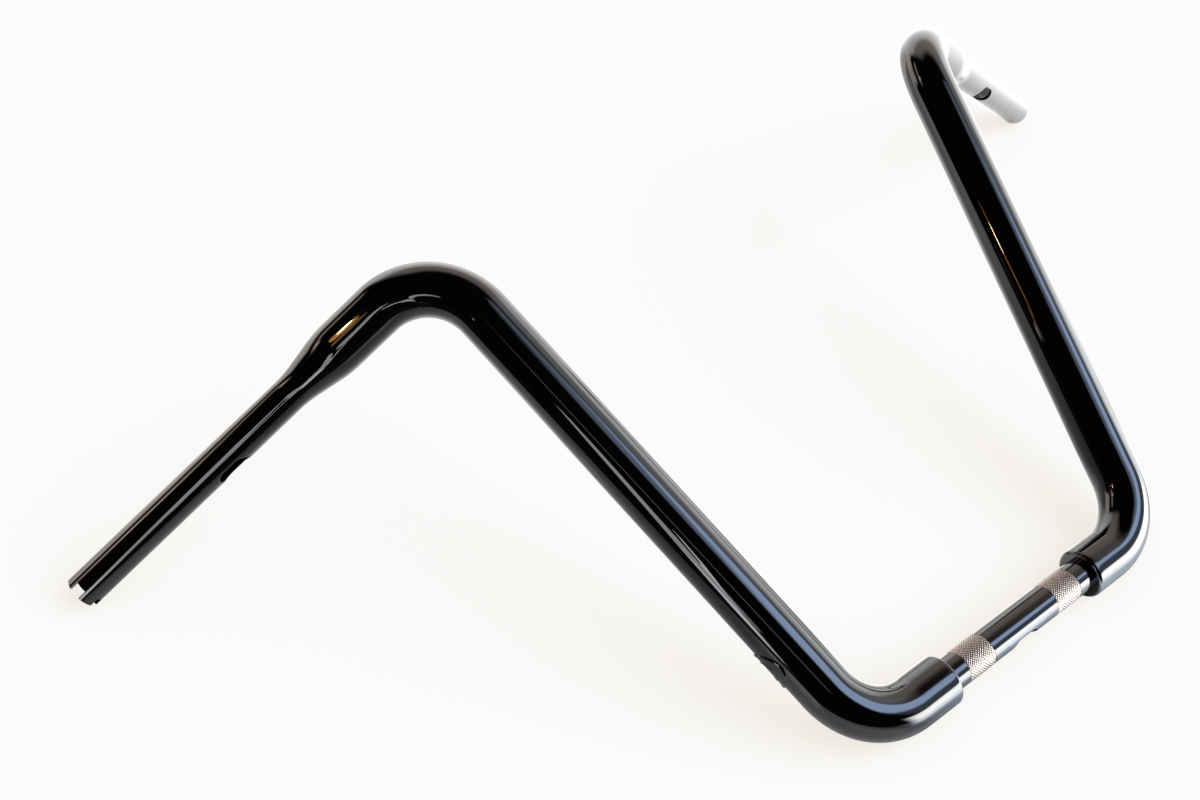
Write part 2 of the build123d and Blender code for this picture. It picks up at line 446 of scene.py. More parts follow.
def build_bar_tube(side):
    """One fat tube: a profile of distance and radius carried along the bar's line.

    The profile runs along the outside from the shoulder's face to the grip's end, back along the bore
    and closes at the shoulder. Quads over the wiring slot, and over the throttle notches of the right
    grip, are left out and closed with walls.
    """
    z = sizes()
    line = BarLine(side)
    fat, slim = z.fat_diameter / 2, z.slim_diameter / 2
    fat_bore, grip_bore = fat - z.fat_wall, slim - z.grip_wall
    m, end = line.marks, line.end
    neck = line.top_corner + z.fat_run
    grip = neck + z.neck_length
    notch = end - z.notch_depth
    slot = end - z.slot_setback
    gap = z.slot_length / 2 + SLOT_GAP
    lip = min(z.shoulder_lip, LIP_LIMIT * z.fat_wall)
    stations = np.linspace(-gap, gap, SLOT_ROWS)

    def skin_distances(start, rows):
        """Distances of a skin's rows, from a start at the shoulder to the grip's end."""
        ends = [start, *m[1:5], neck, grip, slot - gap]
        runs = [np.linspace(*run, endpoint=False) for run in zip(ends, ends[1:], rows)]
        runs += [slot + stations, np.linspace(slot + gap, notch, rows[-1], endpoint=False)[1:]]
        return np.concatenate(runs + [[notch, end - z.grip_edge_break, end]])

    t = np.linspace(0, math.pi / 2, LIP_ROWS)[:-1]
    outside = np.concatenate([lip * (1 - np.cos(t)), skin_distances(lip, OUTSIDE_ROWS)])
    outside_radius = neck_radius(outside, neck, z.neck_length, fat, slim)
    outside_radius[: len(t)] = fat - lip * (1 - np.sin(t))
    outside_radius[-1] = slim - z.grip_edge_break
    inside = skin_distances(0.0, INSIDE_ROWS)
    inside_radius = neck_radius(inside, neck, z.neck_length, fat_bore, grip_bore)

    distance = np.concatenate([outside, inside[::-1]])
    radius = np.concatenate([outside_radius, inside_radius[::-1]])
    phi = column_angles(radius, z.notch_width / 2, grip_bore, slim)
    point, along, down, across = line.at(distance)
    ring = np.cos(phi)[..., None] * down[:, None] + np.sin(phi)[..., None] * across[:, None]
    points = point[:, None] + radius[:, None, None] * ring

    gap_columns = np.arange(-SLOT_HALF_COLUMNS, SLOT_HALF_COLUMNS + 1) + DOWN_COLUMN
    faces, kept = tube_faces(distance - slot, gap, gap_columns)

    def quads(*corners):
        """Quads whose corners are given as rows and columns of the grid."""
        return np.stack([row * TUBE_COLUMNS + column for row, column in corners], -1).reshape(-1, 4)

    closing = []
    if side == RIGHT:
        # The three last rows of each skin are the notches' floor, the chamfer's start and the end
        first, last = len(outside) - 3, len(outside) + 2
        over_notch = np.arange(TUBE_COLUMNS) % QUARTER_COLUMNS < NOTCH_COLUMNS
        kept[first:last, over_notch] = False
        floor = np.nonzero(over_notch)[0]
        closing.append(quads((first, floor), (first, floor + 1), (last, floor + 1), (last, floor)))
        walls = np.arange(4)[:, None] * QUARTER_COLUMNS + np.array([0, NOTCH_COLUMNS])
        for a, b in ((first, last), (first + 1, last - 1)):
            closing.append(quads((a, walls), (a + 1, walls), (b - 1, walls), (b, walls)))
    sheets = Sheets()
    sheets.add(points, np.concatenate([faces[kept], *closing]))

    middle, *axes = line.at(slot)
    skins = []
    for skin_radius in (slim, grip_bore):
        turns = column_angles(np.array([skin_radius]), z.notch_width / 2, grip_bore, slim)[0]
        wrapped = np.where(gap_columns < 0, -2 * math.pi, 0.0)
        skins.append((skin_radius, turns[gap_columns % TUBE_COLUMNS] + wrapped))
    halves = (z.slot_length / 2, z.slot_width / 2)
    add_cut(sheets, middle, axes, stations, *skins, *halves, z.cut_edge)
    made = sheets.piece(f"painted_{SIDE_NAMES[side]}_bar", gloss_black())
    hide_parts(f"{SIDE_NAMES[side]}_bar_tube")


def build_clamp_tube():
    """The slim black tube: a profile of place and radius turned about the bar's middle.

    It steps down under each knurl band, and the wiring hole faces down.
    """
    z = sizes()
    slim, bore = z.slim_diameter / 2, z.slim_diameter / 2 - z.clamp_wall
    reach = z.clamp_width / 2 + z.ring_length
    near = (z.knurl_spacing - z.knurl_width) / 2
    far = near + z.knurl_width
    seat, edge = slim - z.knurl_seat, SEAT_EDGE
    gap = z.hole_length / 2 + HOLE_GAP
    stations = np.linspace(-gap, gap, HOLE_ROWS)
    step_in = [(near - edge, slim), (near, slim - edge), (near, seat)]
    step_out = [(far, seat), (far, slim - edge), (far + edge, slim)]
    right = np.array(step_in + step_out + [(z.clamp_width / 2, slim), (reach, slim)])
    left = right[::-1] * [-1, 1]
    middle_run = np.stack([stations, np.full(len(stations), slim)], -1)
    outside = np.concatenate([left, middle_run, right])
    inside_x = np.concatenate([[-reach, -near], stations, [near, reach]])
    inside = np.stack([inside_x, np.full(len(inside_x), bore)], -1)
    profile = np.concatenate([outside, inside[::-1]])
    phi = np.arange(TUBE_COLUMNS) * (2 * math.pi / TUBE_COLUMNS)
    across = np.cross(ACROSS_BAR, DOWN)
    ring = np.cos(phi)[:, None] * DOWN + np.sin(phi)[:, None] * across
    points = profile[:, :1, None] * ACROSS_BAR + profile[:, 1:, None] * ring
    gap_columns = np.arange(-HOLE_HALF_COLUMNS, HOLE_HALF_COLUMNS + 1)
    faces, kept = tube_faces(profile[:, 0], gap, gap_columns)
    sheets = Sheets()
    sheets.add(points, faces[kept])
    turns = gap_columns * (2 * math.pi / TUBE_COLUMNS)
    axes, skins = (ACROSS_BAR, DOWN, across), [(slim, turns), (bore, turns)]
    halves = (z.hole_length / 2, z.hole_width / 2)
    add_cut(sheets, np.zeros(3), axes, stations, *skins, *halves, z.cut_edge)
    made = sheets.piece("painted_clamp_tube", gloss_black())
    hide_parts("clamp_tube")


def build_knurl_band(side):
    """A band of diamond knurl: a tube whose radius is cut by two families of slanting V grooves.

    With p and q the places across the two families, in grooves, a groove's depth share there is
    |2 frac(p) - 1|, and the tooth left over is 1 minus the deeper of the two. Teeth fade at both edges.
    """
    z = sizes()
    slim = z.slim_diameter / 2
    columns = KNURL_TEETH * TOOTH_STEPS
    pitch = 2 * math.pi * slim / KNURL_TEETH
    across_rows = int(round(z.knurl_width / pitch * TOOTH_STEPS))
    x = np.linspace(-z.knurl_width / 2, z.knurl_width / 2, across_rows + 1)
    turn = np.arange(columns) / TOOTH_STEPS
    along = x / z.knurl_width * (across_rows / TOOTH_STEPS)
    families = [np.abs(2 * ((turn[None] + s * along[:, None]) % 1) - 1) for s in (1, -1)]
    tooth = np.minimum(1 - np.maximum(*families), TOOTH_TOP) / TOOTH_TOP
    tooth = tooth * smooth((z.knurl_width / 2 - np.abs(x)) / KNURL_RUN_OUT)[:, None]
    crest = slim + z.knurl_crest
    radius = crest - z.knurl_depth * (1 - tooth)
    seat = np.full((2, columns), slim - z.knurl_seat)
    x = np.concatenate([x, [z.knurl_width / 2, -z.knurl_width / 2]]) + side * z.knurl_spacing / 2
    radius = np.concatenate([radius, seat])
    # Each point's tooth share is kept as the crest attribute, which the knurl's material uses to paint
    # shade into the grooves.
    value = np.concatenate([tooth, np.zeros((2, columns))])
    phi = np.arange(columns) * (2 * math.pi / columns)
    ring = np.cos(phi)[:, None] * DOWN + np.sin(phi)[:, None] * FORWARD
    points = x[:, None, None] * ACROSS_BAR + radius[..., None] * ring
    faces = grid_faces(len(x), columns, round_rows=True, round_columns=True)
    sheets = Sheets()
    sheets.add(points, faces, value)
    made = sheets.piece(f"{SIDE_NAMES[side]}_knurl_band", bare_knurl(), "crest")
    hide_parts("clamp_tube")


def build_badge():
    """The blank badge: a disc in rings about its middle, wrapped on the right riser.

    A point at u along and w across the riser stands sqrt((R + height)^2 - w^2) from the riser's axis.
    The height is the field's, and rises by S curves to the ring and to the rim, which is rounded down
    at its edge.
    """
    z = sizes()
    stub, riser, _ = leg_directions(RIGHT)
    facing = square_to(stub, riser) * math.cos(z.badge_turn) - FORWARD * math.sin(z.badge_turn)
    sideways = np.cross(riser, facing)
    middle = stub * (z.corner_width / 2) + riser * z.badge_place
    outer, rim = z.badge_diameter / 2, z.badge_rim_width
    field, high = z.badge_field_height, z.badge_rim_height
    inner, rounding, slope = outer - rim, BADGE_ROUNDING, BADGE_SLOPE
    ring_outer = z.badge_ring_diameter / 2
    ring_inner = ring_outer - z.badge_ring_width
    borders = [ring_inner, ring_outer, inner]
    steps = [np.linspace(r - slope, r + slope, BADGE_SLOPE_ROWS) for r in borders]
    starts = [BADGE_START] + [r + slope for r in borders]
    ends = [r - slope for r in borders] + [outer - rounding]
    flats = [np.linspace(*run)[1:-1] for run in zip(starts, ends, BADGE_FLAT_ROWS)]
    rho = np.concatenate(
        [[BADGE_START], flats[0], steps[0], flats[1], steps[1], flats[2], steps[2], flats[3]]
    )
    t = np.linspace(0, math.pi / 2, BADGE_EDGE_ROWS)
    edge_rho = outer - rounding * (1 - np.sin(t))
    climbs = [smooth((rho - r) / slope / 2 + 0.5) for r in borders]
    height = field + (high - field) * (climbs[0] - climbs[1] + climbs[2])
    edge_height = high - rounding * (1 - np.cos(t))
    rho = np.concatenate([[0.0], rho, edge_rho, [outer, inner / 2, 0.0]])
    height = np.concatenate([[field], height, edge_height, [0.0, 0.0, 0.0]])
    theta = np.arange(BADGE_COLUMNS) * (2 * math.pi / BADGE_COLUMNS)
    u, w = rho[:, None] * np.cos(theta), rho[:, None] * np.sin(theta)
    stand = np.sqrt((z.fat_diameter / 2 + height[:, None]) ** 2 - w**2)
    points = middle + u[..., None] * riser + w[..., None] * sideways + stand[..., None] * facing
    sheets = Sheets()
    sheets.add(points, grid_faces(len(rho), len(theta), round_columns=True))
    made = sheets.piece("blank_round_badge", gloss_black())
    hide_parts("blank_badge")


def add_object(name, data):
    """An object of that name and data, at the origin of the scene."""
    made = bpy.data.objects.new(name, data)
    bpy.context.scene.collection.objects.link(made)
    return made


def set_inputs(tree, node, inputs):
    """Sets a node's inputs to values, or links them to sockets."""
    for key, value in inputs.items():
        if isinstance(value, bpy.types.NodeSocket):
            tree.links.new(value, node.inputs[key])
        else:
            node.inputs[key].default_value = value


def add_node(tree, kind, inputs=None, **settings):
    """A node with its settings and its inputs."""
    node = tree.nodes.new(kind)
    for key, value in settings.items():
        setattr(node, key, value)
    set_inputs(tree, node, inputs or {})
    return node


def math_node(tree, operation, *values):
    """The result of an operation on values or sockets."""
    inputs = dict(enumerate(values))
    return add_node(tree, "ShaderNodeMath", inputs, operation=operation).outputs[0]


def combined(tree, operation, values):
    """The values' sum, product or the like."""
    result = values[0]
    for value in values[1:]:
        result = math_node(tree, operation, result, value)
    return result


def fade(tree, value, start, end, low, high, curve="SMOOTHSTEP"):
    """A number that goes from low, where the value is start, to high, where it is end."""
    inputs = {"Value": value, "From Min": start, "From Max": end, "To Min": low, "To Max": high}
    return add_node(tree, "ShaderNodeMapRange", inputs, interpolation_type=curve).outputs["Result"]


def noise(tree, place, scale, detail):
    """Noise between 0 and 1 at a place."""
    inputs = {"Vector": place, "Scale": scale, "Detail": detail}
    return add_node(tree, "ShaderNodeTexNoise", inputs).outputs["Fac"]


def mixed_colour(tree, part, first, second):
    """A colour between two."""
    inputs = {0: part, 6: first, 7: second}
    return add_node(tree, "ShaderNodeMix", inputs, data_type="RGBA").outputs[2]


def mixed_shader(tree, part, first, second):
    """A shader between two."""
    return add_node(tree, "ShaderNodeMixShader", {0: part, 1: first, 2: second}).outputs[0]


def added_shader(tree, first, second):
    """Two shaders on top of each other."""
    return add_node(tree, "ShaderNodeAddShader", {0: first, 1: second}).outputs[0]


def emission(tree, light, strength):
    """Light of a colour and a strength."""
    inputs = {"Color": (*light, 1), "Strength": strength}
    return add_node(tree, "ShaderNodeEmission", inputs).outputs[0]


def object_place(tree):
    """The place of a point in its object's own coordinates."""
    return add_node(tree, "ShaderNodeTexCoord").outputs["Object"]


def material(name, fill):
    """The material of that name, filled with nodes when it is first asked for."""
    made = bpy.data.materials.get(name)
    if made is None:
        made = bpy.data.materials.new(name)
        made.use_nodes = True
        fill(made.node_tree)
    return made


# The middle part of a noise's range, over which roughness goes from smooth to rough
NOISE_LOW, NOISE_HIGH = 0.3, 0.7


def fill_finish(tree, tint, uneven, roughness, shares, others):
    """A surface with a colour, a roughness that varies between two shares of it, and other inputs."""
    smoothest, roughest = (part * roughness for part in shares)
    rough = fade(tree, uneven, NOISE_LOW, NOISE_HIGH, smoothest, roughest, "LINEAR")
    inputs = {"Base Color": tint, "Roughness": rough, **others}
    set_inputs(tree, tree.nodes["Principled BSDF"], inputs)


def fill_gloss_black(tree):
    """Sprayed and polished black: a mirror-like skin with a faint orange peel and uneven polish."""
    look = finishes()
    place = object_place(tree)
    peel = noise(tree, place, scale=240.0, detail=2.0)
    polish = noise(tree, place, scale=35.0, detail=4.0)
    bump = add_node(tree, "ShaderNodeBump", {"Height": peel, "Strength": 0.5, "Distance": 0.00001})
    palest = [1.5 * c for c in look.paint]
    tint = mixed_colour(tree, polish, (*look.paint, 1), (*palest, 1))
    others = {"Normal": bump.outputs["Normal"], "IOR": 1.5}
    fill_finish(tree, tint, polish, look.paint_roughness, (0.7, 1.5), others)


def fill_bare_knurl(tree):
    """Bare machined steel: bright crests, grooves darkened by painted shade, uneven warm tint."""
    look = finishes()
    patches = noise(tree, object_place(tree), scale=420.0, detail=3.0)
    crest = add_node(tree, "ShaderNodeAttribute", attribute_name="crest").outputs["Fac"]
    # The tint goes from the grooves' painted shade up to bright steel on the crests, with random
    # patches mixed in.
    patch_share, groove_end, crest_start = 0.2, 0.12, 0.80
    crest_and_patches = math_node(tree, "MULTIPLY_ADD", patches, patch_share, crest)
    height = fade(tree, crest_and_patches, groove_end, crest_start, 0, 1)
    tint = mixed_colour(tree, height, (*look.groove_shade, 1), (*look.steel, 1))
    fill_finish(tree, tint, patches, look.steel_roughness, (0.8, 1.3), {"Metallic": 1.0})


def gloss_black():
    """The paint of every piece but the knurl bands."""
    return material("gloss_black_paint", fill_gloss_black)


def bare_knurl():
    """The steel of the knurl bands."""
    return material("bare_knurl_steel", fill_bare_knurl)


# The studio as gloss shows it, each panel painted over those before it. A panel has a name, its shape
# in degrees, with the azimuth from +Y towards +X, a colour and a strength.
PANEL_SHAPE = (
    "Centre azimuth", "Centre elevation", "Half width", "Half height", "Side softness", "End softness",
)
STUDIO_PANELS = [
    ("white wall", -126, 5, 58, 24, 6, 10, (1.0, 0.98, 0.97), 2.9),
    ("wall top", -128, 38, 56, 12, 10, 9, (1.15, 1.0, 0.93), 1.35),
    ("wall by the window", -84, 4, 16, 20, 5, 9, (0.97, 1.0, 1.03), 4.4),
    ("window reveal", -74, 3, 8, 13, 4, 4, (0.93, 1.0, 1.07), 6.8),
    ("wall top by the window", -82, 39, 13, 6, 5, 4, (0.95, 1.0, 1.08), 1.8),
    ("warm wall", 157, -5, 21, 15, 5, 3, (1.1, 1.0, 0.94), 2.9),
    ("window bay", -48, 12, 20, 34, 5, 10, (0.8, 1.0, 1.3), 0.8),
    ("low window", -45, 2.5, 25, 13.5, 5, 3, (1.0, 1.0, 1.0), 18.0),
    ("skylight", -46, 55, 22, 9, 7, 5, (0.8, 1.0, 1.35), 2.0),
    ("upper window", -46, 45, 20, 8, 5, 3.5, (0.76, 1.0, 1.5), 6.0),
    ("ceiling strip", 42, 41.5, 16, 0.8, 3, 0.5, (1.0, 0.8, 0.65), 2.0),
    ("warm shelf", 142, 23, 18, 3, 5, 2, (1.4, 1.0, 0.8), 1.8),
    ("shelf end", 133, 25, 3, 3, 1.5, 1.5, (1.4, 1.0, 0.85), 5.0),
]
DARK_ROOM = (0.004, 0.004, 0.005)
EVEN_LIGHT = (0.55, 0.55, 0.55)
PALE_BACKGROUND = (0.975, 0.975, 0.975)

# Glowing balls near the bar that only gloss shows: centre and half sizes in metres, colour, strength
NEAR_BALLS = [
    ("lamp_shade", (0.785, -0.415, 0.598), (0.022, 0.11, 0.022), (1.0, 0.38, 0.08), 8.0),
    ("lamp_bulb", (0.757, -0.445, 0.585), (0.011, 0.028, 0.011), (1.0, 0.8, 0.45), 100.0),
    ("bench_glow", (0.568, -0.305, 0.383), (0.03, 0.025, 0.025), (1.1, 0.7, 0.42), 2.4),
]
# Upright cards that only gloss shows: azimuth from +Y towards +X in degrees, distance from the origin,
# colour, strength, then corners across and up in metres
NEAR_CARDS = [
    ("white_card_low", 65, 1.15, (0.93, 1.0, 1.08), 9.5, [
        (-0.24, -0.13), (-0.18, -0.14), (-0.155, 0.0), (-0.16, 0.14), (-0.315, 0.14), (-0.285, 0.04),
    ]),
    ("white_card_high", 65, 1.15, (1.0, 0.98, 0.98), 5.0, [
        (-0.315, 0.14), (-0.16, 0.14), (-0.16, 0.35), (-0.19, 0.47), (-0.24, 0.60), (-0.31, 0.63),
        (-0.375, 0.57), (-0.36, 0.42), (-0.32, 0.24),
    ]),
    ("grey_card", 65, 1.15, (1.05, 1.0, 0.97), 2.0, [
        (-0.155, 0.0), (-0.14, 0.0), (-0.115, 0.19), (-0.04, 0.31), (-0.06, 0.36), (-0.10, 0.41),
        (-0.19, 0.47), (-0.16, 0.35), (-0.16, 0.14),
    ]),
    ("neck_card", 55, 0.15, (1.0, 0.98, 0.97), 4.7, [
        (-0.474, 0.253), (-0.464, 0.254), (-0.453, 0.243), (-0.456, 0.222), (-0.463, 0.206),
        (-0.482, 0.206), (-0.488, 0.219), (-0.478, 0.235),
    ]),
    ("bend_card", 46, 1.0, (0.95, 1.0, 1.05), 9.0, [
        (-0.485, 0.20), (-0.475, 0.30), (-0.43, 0.42), (-0.40, 0.52), (-0.40, 0.60),
        (-0.43, 0.60), (-0.44, 0.54), (-0.45, 0.45), (-0.495, 0.36), (-0.505, 0.21),
    ]),
    ("black_card_left", 55, 0.15, (1.0, 1.0, 1.0), 0.005, [
        (-0.452, 0.237), (-0.446, 0.226), (-0.438, 0.205), (-0.434, 0.185), (-0.429, 0.157),
        (-0.458, 0.150), (-0.458, 0.170), (-0.463, 0.190), (-0.457, 0.215),
    ]),
    ("black_card_right", 55, 0.15, (1.0, 1.0, 1.0), 0.005, [
        (-0.445, 0.240), (-0.434, 0.215), (-0.427, 0.200), (-0.4265, 0.185), (-0.421, 0.158),
        (-0.390, 0.150), (-0.390, 0.210), (-0.420, 0.250),
    ]),
]
BALL_COLUMNS, BALL_ROWS = 32, 16

# The floor's glow as gloss shows it: painted pools of light on the table, and painted shade where a
# strength is below zero, as in the left dip. Each light is a product of fades along X or Y: where a
# fade starts and ends, in metres, and its strength there. The lights are summed.
FLOOR_GLOW = [
    ("whole table", [("Y", -0.05, -0.42, 0.5, 1.1)]),
    ("left half", [("X", -0.09, -0.19, 0, 0.95)]),
    ("left dip", [("X", -0.20, -0.28, 0, -0.7)]),
    ("far left", [("X", -0.30, -0.60, 0, 2.4), ("Y", -0.50, -0.30, 0.6, 1)]),
    ("under the right neck", [
        ("X", 0.10, 0.20, 0, 1), ("X", 0.28, 0.38, 1, 0), ("Y", -0.27, -0.38, 0, 0.9),
    ]),
    ("past the right grip", [("X", 0.20, 0.40, 0, 1), ("Y", -0.44, -0.75, 0, 1.6)]),
    ("under the right stub", [("X", 0.09, 0.14, 0, 0.6), ("Y", -0.09, -0.02, 0, 1)]),
    ("by the clamp tube", [
        ("Y", -0.10, -0.03, 0, 2.2), ("Y", -0.02, 0.005, 1, 0), ("X", 0.16, 0.10, 0, 1),
    ]),
]
# The window's light on the floor in front of the clamp tube, in the same form
FLOOR_SHINE = [
    ("Y", 0.012, 0.090, 0, 9.5), ("Y", 0.10, 0.22, 1, 0.6),
    ("X", -0.04, 0.12, 1, 0.05), ("X", -0.16, -0.06, 0.5, 1),
]
GLOW_TINT, SHINE_TINT = (1, 0.99, 0.975), (0.85, 1, 1.2)
# The table's edge: a line square to this direction, over which the table fades into the dark room
TABLE_FRONT = (("X", 0.88), ("Y", 0.47))
TABLE_EDGE = (0.34, 0.40, 1, 0.03)
FLOOR_HALF = 6.0

# The sun in degrees, and its light on the floor as a share of white
SUN_AZIMUTH, SUN_ELEVATION, SUN_WIDTH = -45, 38, 60
SUN_ON_FLOOR = 0.45

# The camera: lens and sensor in millimetres, place in metres, and its three axes
CAMERA_LENS, SENSOR_WIDTH = 47.439, 36.0
CAMERA_CLIP = (0.01, 50.0)
CAMERA_PLACE = (0.71125, 0.26992, 0.89858)
CAMERA_RIGHT = (-0.764883, 0.638495, 0.085313)
CAMERA_UP = (-0.418171, -0.592899, 0.688189)
CAMERA_BACK = (0.489987, 0.490709, 0.720498)


def panel_group():
    """A node group that paints one soft-edged panel over the colour behind it."""
    group = bpy.data.node_groups.new("studio_panel", "ShaderNodeTree")
    numbers = ("Azimuth", "Elevation", *PANEL_SHAPE, "Strength")
    for kind, names in (("Float", numbers), ("Color", ("Light", "Behind"))):
        for name in names:
            group.interface.new_socket(name, in_out="INPUT", socket_type=f"NodeSocket{kind}")
    group.interface.new_socket("Colour", in_out="OUTPUT", socket_type="NodeSocketColor")
    given = group.nodes.new("NodeGroupInput").outputs

    def inside(offset, half, soft):
        """1 within half of the centre and 0 outside, with a soft S between."""
        near = math_node(group, "SUBTRACT", half, soft)
        far = math_node(group, "ADD", half, soft)
        return fade(group, math_node(group, "ABSOLUTE", offset), near, far, 1.0, 0.0)

    up = math_node(group, "SUBTRACT", given["Elevation"], given["Centre elevation"])
    side = math_node(group, "SUBTRACT", given["Azimuth"], given["Centre azimuth"])
    side = math_node(group, "WRAP", side, 180.0, -180.0)
    across = inside(side, given["Half width"], given["Side softness"])
    mask = math_node(group, "MULTIPLY", across, inside(up, given["Half height"], given["End softness"]))
    lit = {0: given["Light"], 3: given["Strength"]}
    light = add_node(group, "ShaderNodeVectorMath", lit, operation="SCALE").outputs[0]
    add_node(group, "NodeGroupOutput", {"Colour": mixed_colour(group, mask, given["Behind"], light)})
    return group


def set_world():
    """Even light for matt surfaces, a pale background for the camera, the studio's panels for gloss."""
    world = bpy.data.worlds.new("studio")
    bpy.context.scene.world = world
    world.use_nodes = True
    world.cycles.sampling_method = "NONE"
    tree = world.node_tree
    tree.nodes.clear()
    direction = add_node(tree, "ShaderNodeTexCoord").outputs["Generated"]
    part = add_node(tree, "ShaderNodeSeparateXYZ", {0: direction}).outputs
    azimuth = math_node(tree, "DEGREES", math_node(tree, "ARCTAN2", part["X"], part["Y"]))
    elevation = math_node(tree, "DEGREES", math_node(tree, "ARCSINE", part["Z"]))
    group = panel_group()
    room = (*DARK_ROOM, 1)
    for name, *shape, light, strength in STUDIO_PANELS:
        inputs = {"Azimuth": azimuth, "Elevation": elevation, "Strength": strength}
        inputs.update(zip(PANEL_SHAPE, shape))
        inputs.update({"Light": (*light, 1), "Behind": room})
        panel = add_node(tree, "ShaderNodeGroup", inputs, node_tree=group, label=name)
        room = panel.outputs["Colour"]

    def background(light):
        """A background of one colour."""
        return add_node(tree, "ShaderNodeBackground", {"Color": light, "Strength": 1.0}).outputs[0]

    rays = add_node(tree, "ShaderNodeLightPath").outputs
    seen = mixed_shader(tree, rays["Is Glossy Ray"], background((*EVEN_LIGHT, 1)), background(room))
    pale = background((*PALE_BACKGROUND, 1))
    last = mixed_shader(tree, rays["Is Camera Ray"], seen, pale)
    add_node(tree, "ShaderNodeOutputWorld", {"Surface": last})


def fill_floor(tree):
    """A white table top: matt with shadows for the camera, the lit table with its edges for gloss."""
    look = finishes()
    tree.nodes.clear()
    part = add_node(tree, "ShaderNodeSeparateXYZ", {0: object_place(tree)}).outputs

    def product(fades):
        """The product of fades along X or Y."""
        return combined(tree, "MULTIPLY", [fade(tree, part[axis], *run) for axis, *run in fades])

    steps = [math_node(tree, "MULTIPLY", part[axis], size) for axis, size in TABLE_FRONT]
    table = fade(tree, combined(tree, "ADD", steps), *TABLE_EDGE)
    corner = add_node(tree, "ShaderNodeAmbientOcclusion", {"Distance": 0.06}, samples=8).outputs["AO"]
    lit = combined(tree, "ADD", [product(fades) for _, fades in FLOOR_GLOW])
    lit = emission(tree, GLOW_TINT, math_node(tree, "MULTIPLY", lit, corner))
    glow = added_shader(tree, lit, emission(tree, SHINE_TINT, product(FLOOR_SHINE)))
    mirror = {"Color": (1, 1, 1, 1), "Roughness": 0.1}
    polish = add_node(tree, "ShaderNodeBsdfGlossy", mirror).outputs[0]
    fresnel = add_node(tree, "ShaderNodeFresnel", {"IOR": 1.5}).outputs[0]
    top = mixed_shader(tree, fresnel, glow, polish)
    mirrored = mixed_shader(tree, table, emission(tree, DARK_ROOM, 1.0), top)
    shade = add_node(tree, "ShaderNodeBsdfDiffuse", {"Color": (*look.floor_shade, 1)}).outputs[0]
    seen = added_shader(tree, shade, emission(tree, look.floor_light, 1.0))
    rays = add_node(tree, "ShaderNodeLightPath").outputs
    both = mixed_shader(tree, rays["Is Glossy Ray"], seen, mirrored)
    add_node(tree, "ShaderNodeOutputMaterial", {"Surface": both})


def set_floor():
    """A wide flat floor under the bar's lowest point."""
    square = ((-1, -1), (1, -1), (1, 1), (-1, 1))
    corners = [(x * FLOOR_HALF, y * FLOOR_HALF, CAD_LOW.z) for x, y in square]
    mesh = bpy.data.meshes.new("white_table")
    mesh.from_pydata(corners, [], [[0, 1, 2, 3]])
    mesh.materials.append(material("white_table", fill_floor))
    add_object("white_table", mesh)


def add_near_light(name, mesh, light, strength):
    """A glowing mesh that only gloss sees."""

    def fill(tree):
        """Light and nothing else."""
        tree.nodes.clear()
        add_node(tree, "ShaderNodeOutputMaterial", {"Surface": emission(tree, light, strength)})

    mesh.materials.append(material(name, fill))
    made = add_object(name, mesh)
    made.visible_camera = made.visible_diffuse = made.visible_shadow = False


def compass(azimuth, elevation=0.0):
    """The unit direction at an azimuth from +Y towards +X and an elevation, both in degrees."""
    a, e = math.radians(azimuth), math.radians(elevation)
    return np.array([math.sin(a) * math.cos(e), math.cos(a) * math.cos(e), math.sin(e)])


def set_near_lights():
    """Glowing shapes near the bar, so that each tube mirrors them from its own side."""
    for name, centre, halves, light, strength in NEAR_BALLS:
        edit = bmesh.new()
        place = Matrix.Translation(centre) @ Matrix.Diagonal((*halves, 1))
        bmesh.ops.create_uvsphere(
            edit, u_segments=BALL_COLUMNS, v_segments=BALL_ROWS, radius=1.0, matrix=place
        )
        mesh = bpy.data.meshes.new(name)
        edit.to_mesh(mesh)
        edit.free()
        add_near_light(name, mesh, light, strength)
    for name, azimuth, distance, light, strength, corners in NEAR_CARDS:
        away = compass(azimuth)
        across = np.array([-away[1], away[0], 0])
        corners = np.array(corners)
        points = distance * away + corners[:, :1] * across + corners[:, 1:] * [0, 0, 1]
        mesh = bpy.data.meshes.new(name)
        mesh.from_pydata(points.tolist(), [], [list(range(len(points)))])
        add_near_light(name, mesh, light, strength)


def set_lamp():
    """A wide soft sun from the low window's side, for the shadows on the floor."""
    data = bpy.data.lights.new("window_light", "SUN")
    data.angle = math.radians(SUN_WIDTH)
    towards = Vector(compass(SUN_AZIMUTH, SUN_ELEVATION))
    data.energy = SUN_ON_FLOOR * math.pi / towards.z
    made = add_object("window_light", data)
    made.rotation_euler = towards.to_track_quat("Z", "Y").to_euler()
    made.visible_glossy = False


def set_camera():
    """The camera where the photograph was taken from."""
    data = bpy.data.cameras.new("camera")
    data.lens = CAMERA_LENS
    data.sensor_width = SENSOR_WIDTH
    data.clip_start, data.clip_end = CAMERA_CLIP
    made = add_object("camera", data)
    turn = Matrix((CAMERA_RIGHT, CAMERA_UP, CAMERA_BACK)).transposed().to_4x4()
    made.matrix_world = Matrix.Translation(CAMERA_PLACE) @ turn
    bpy.context.scene.camera = made


class HANDLEBAR_OT_bar_tubes(bpy.types.Operator):
    """Build the two fat bent tubes with their grips"""

    bl_idname = "handlebar.bar_tubes"
    bl_label = "Bar tubes"

    def execute(self, context):
        for side in (RIGHT, LEFT):
            build_bar_tube(side)
        return {"FINISHED"}


class HANDLEBAR_OT_clamp_tube(bpy.types.Operator):
    """Build the slim black tube in the middle"""

    bl_idname = "handlebar.clamp_tube"
    bl_label = "Clamp tube"

    def execute(self, context):
        build_clamp_tube()
        return {"FINISHED"}


